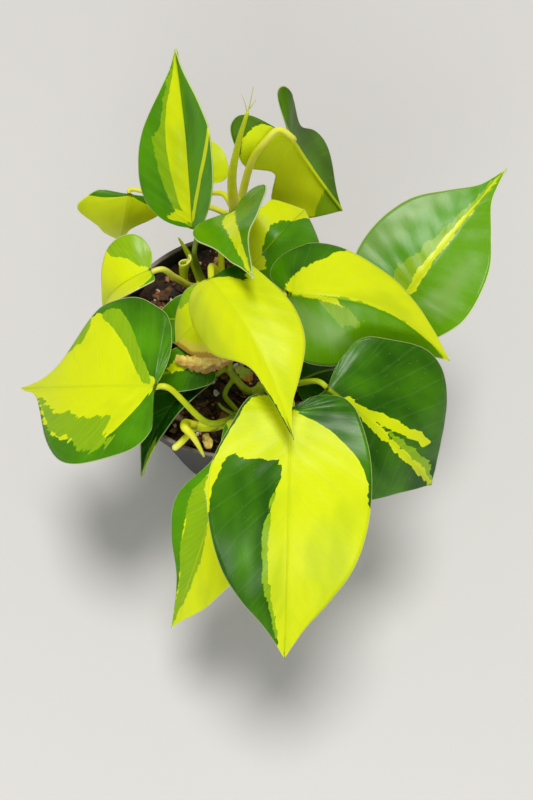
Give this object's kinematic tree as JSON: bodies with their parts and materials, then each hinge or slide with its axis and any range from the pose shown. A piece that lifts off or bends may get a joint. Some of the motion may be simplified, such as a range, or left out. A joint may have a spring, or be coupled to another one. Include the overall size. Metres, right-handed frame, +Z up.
{
  "type": "potted philodendron plant",
  "caption": "Small bushy philodendron with heart-shaped lime and dark green variegated leaves on short vines, in a plain round nursery pot filled with bark mix.",
  "frame": {"origin": "centre of the pot's foot, on the surface that the pot stands on", "axes": "+Z up along the axis of the pot; -Y to the front, where the long front leaves hang over the rim; +X to the right as seen from the front"},
  "size_m": [0.2153, 0.2374, 0.1823],
  "materials": {
    "leaf_lime": "satin",
    "leaf_green": "satin",
    "leaf_dark": "satin",
    "stem": "satin",
    "sheath": "matte",
    "soil": "matte",
    "pot": "matte"
  },
  "bodies": {
    "root": {"pot": "pot", "soil": "soil", "vine_left": "stem", "vine_centre": "stem", "vine_front": "stem", "vine_right": "stem", "vine_back": "stem", "leaf_tall": "leaf_green", "leaf_far_left": "leaf_lime", "leaf_droop": "leaf_green", "leaf_sliver": "leaf_lime", "leaf_folded": "leaf_green", "leaf_curled": "leaf_lime", "leaf_centre": "leaf_lime", "leaf_right": "leaf_lime", "leaf_right_up": "leaf_green", "leaf_right_low": "leaf_dark", "leaf_front": "leaf_lime", "leaf_front_left": "leaf_lime", "leaf_left": "leaf_lime", "leaf_small_left": "leaf_lime", "leaf_mid": "leaf_lime", "leaf_mid_back": "leaf_green", "leaf_mid_green": "leaf_green", "leaf_dark": "leaf_dark", "leaf_shade": "leaf_dark", "sheath_under": "sheath", "sheath_stub": "sheath", "sheath_low": "sheath"}
  },
  "joints": []
}
